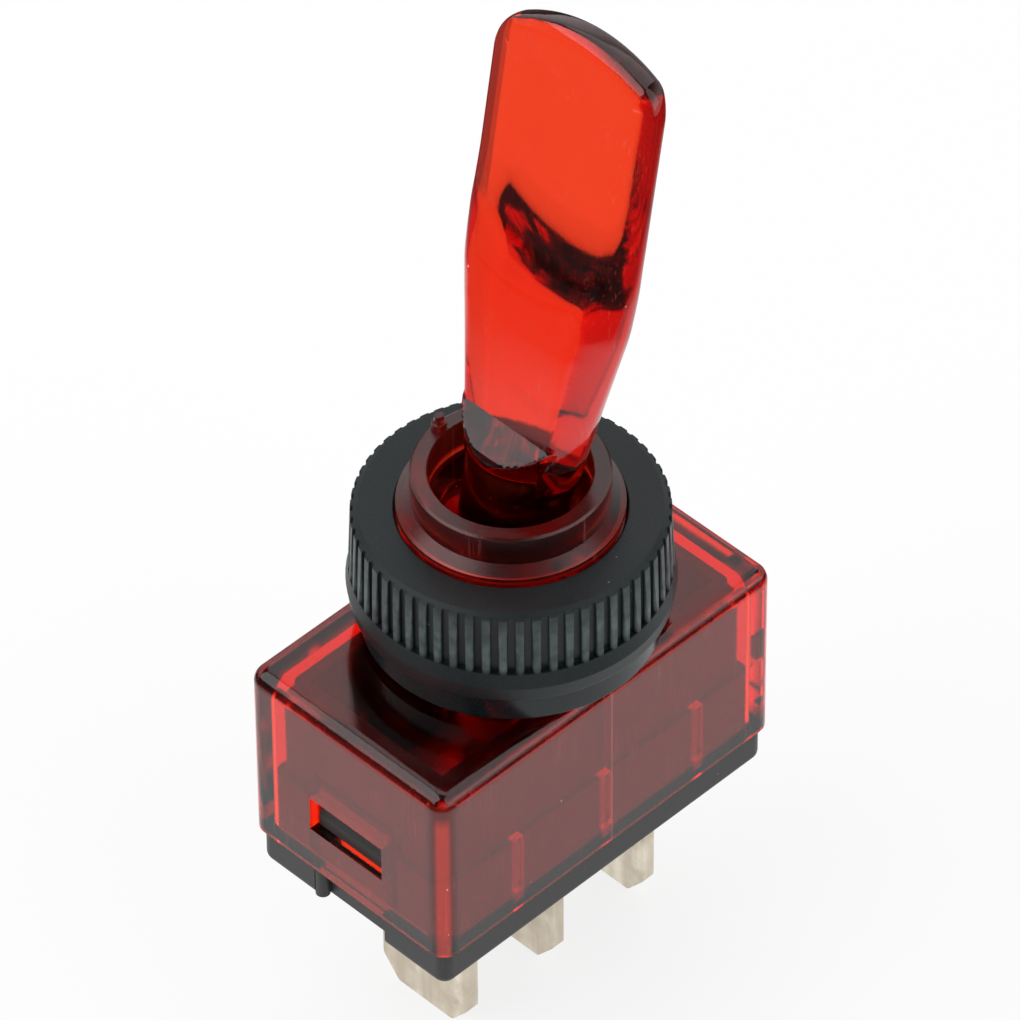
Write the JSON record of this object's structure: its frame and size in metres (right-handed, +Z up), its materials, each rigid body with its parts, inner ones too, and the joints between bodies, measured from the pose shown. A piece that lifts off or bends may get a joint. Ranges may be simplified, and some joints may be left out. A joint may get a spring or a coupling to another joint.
{
  "type": "toggle switch",
  "caption": "Panel-mounted toggle switch with a clear paddle lever, threaded bushing with a round nut, boxy cover and flat blade terminals below.",
  "frame": {"origin": "on the bushing's axis, in the cover's flat top, which is the face that the panel rests on", "axes": "+Z up along the bushing, towards the lever; X along the cover's long side, in whose plane the lever swings; +X is the side that the lever leans to at rest"},
  "size_m": [0.0244, 0.0172, 0.0611],
  "materials": {
    "clear_red_plastic": "polished, transparent red",
    "nut_plastic": "moulded, matt black",
    "base_plastic": "moulded, matt slate black",
    "plated_metal": "nickel-plated, brushed",
    "contact_brass": "stamped, satin",
    "contact_silver": "polished silver",
    "spring_steel": "bright drawn wire",
    "plunger_plastic": "natural white nylon",
    "lamp_lens": "clear red epoxy",
    "resistor_coat": "lacquered",
    "tinned_wire": "tinned, bright"
  },
  "bodies": {
    "housing": {"housing_cover": "clear_red_plastic", "base": "base_plastic", "terminal_supply": "plated_metal", "terminal_load": "plated_metal", "terminal_earth": "plated_metal", "fixed_contact_rivet": "contact_silver", "lamp_body": "lamp_lens", "lamp_lead_load": "tinned_wire", "lamp_lead_series": "tinned_wire", "resistor_body": "resistor_coat", "resistor_lead_series": "tinned_wire", "resistor_lead_earth": "tinned_wire", "solder_load": "tinned_wire", "solder_series": "tinned_wire", "solder_earth": "tinned_wire"},
    "nut": {"knurled_nut": "nut_plastic"},
    "lever": {"lever": "clear_red_plastic", "plunger_spring": "spring_steel"},
    "plunger": {"plunger": "plunger_plastic"},
    "rocker": {"rocker_contact": "contact_brass", "moving_contact_rivet": "contact_silver"}
  },
  "joints": [
    {"name": "lever_tilt", "type": "hinge", "parent": "housing", "child": "lever", "pos_m": [0, 0, 0.0055], "axis": [0, 1, 0], "range_deg": [-19.4, 0]},
    {"name": "rocker_turn", "type": "hinge", "parent": "housing", "child": "rocker", "pos_m": [0, 0, -0.0086], "axis": [0, 1, 0], "range_deg": [0, 14]},
    {"name": "plunger_slide", "type": "slide", "parent": "lever", "child": "plunger", "axis": [0.1685, 0, 0.9857], "range_m": [-0.00033, 0.0006], "stiffness_N_per_m": 600, "springref_m": -0.004, "deforming": ["plunger_spring"]},
    {"name": "nut_turn", "type": "hinge", "parent": "housing", "child": "nut", "pos_m": [0, 0, 0], "axis": [0, 0, 1], "continuous": true}
  ],
  "couplings": [
    {"joint": "rocker_turn", "follows": "lever_tilt", "ratio": -0.7216}
  ]
}
